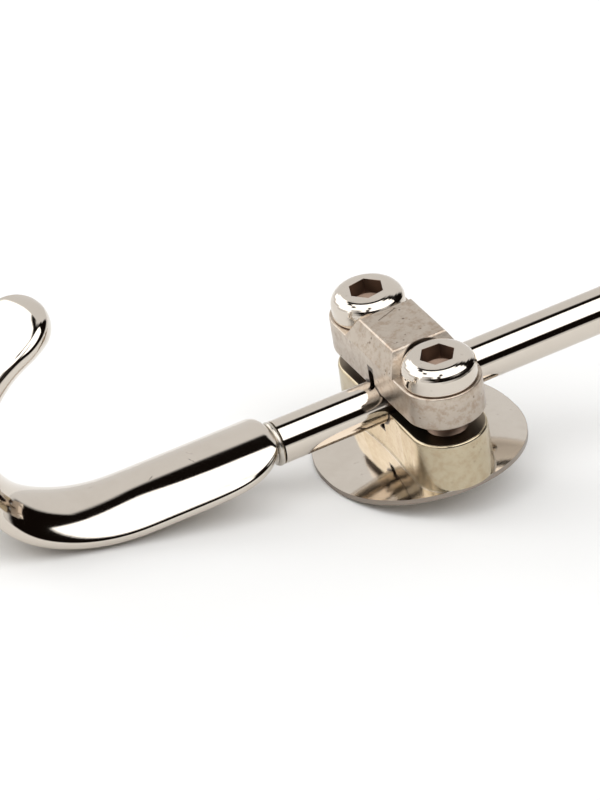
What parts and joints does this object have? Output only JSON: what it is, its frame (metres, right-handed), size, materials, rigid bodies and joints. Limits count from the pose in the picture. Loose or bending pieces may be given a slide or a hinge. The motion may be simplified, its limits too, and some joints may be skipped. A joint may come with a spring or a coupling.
{
  "type": "adjustable finger hook",
  "caption": "J-shaped finger hook on a round rod, gripped between two screwed jaws that stand on a curved saddle plate.",
  "frame": {"origin": "crown of the saddle plate's underside, midway between the two screws", "axes": "+X along the rod, away from the hook; +Y from the front screw to the back screw; +Z out of the tube that the saddle is soldered to"},
  "size_m": [0.0751, 0.0214, 0.0305],
  "materials": {
    "polished_nickel": "polished nickel plate",
    "warm_nickel": "polished nickel silver, slightly yellow",
    "satin_nickel": "fine satin nickel",
    "screw_nickel": "polished nickel plate with a darker socket",
    "solder": "buffed silver solder"
  },
  "bodies": {
    "base": {"saddle_plate": "polished_nickel", "foot_solder": "solder", "lower_jaw": "warm_nickel"},
    "cap": {"upper_jaw": "satin_nickel"},
    "screw_front": {"front_screw": "screw_nickel"},
    "screw_back": {"back_screw": "screw_nickel"},
    "slider": {"rod": "polished_nickel"},
    "finger_piece": {"hook": "polished_nickel", "hook_solder_ring": "solder"}
  },
  "joints": [
    {"name": "upper_jaw_lift", "type": "slide", "parent": "base", "child": "cap", "axis": [0, 0, 1], "range_m": [0, 0.0028]},
    {"name": "front_screw_turn", "type": "hinge", "parent": "cap", "child": "screw_front", "pos_m": [0, -0.00695, 0.0106], "axis": [0, 0, 1], "range_deg": [0, 1440]},
    {"name": "back_screw_turn", "type": "hinge", "parent": "cap", "child": "screw_back", "pos_m": [0, 0.00695, 0.0106], "axis": [0, 0, 1], "range_deg": [0, 1440]},
    {"name": "rod_slide", "type": "slide", "parent": "base", "child": "slider", "axis": [1, 0, 0], "range_m": [-0.024, 0.009]},
    {"name": "hook_swivel", "type": "hinge", "parent": "slider", "child": "finger_piece", "pos_m": [-0.0141, 0, 0.00568], "axis": [1, 0, 0], "range_deg": [-180, 180]}
  ],
  "couplings": [
    {"joint": "front_screw_turn", "follows": "upper_jaw_lift", "rad_per_m": 8976},
    {"joint": "back_screw_turn", "follows": "upper_jaw_lift", "rad_per_m": 8976}
  ]
}
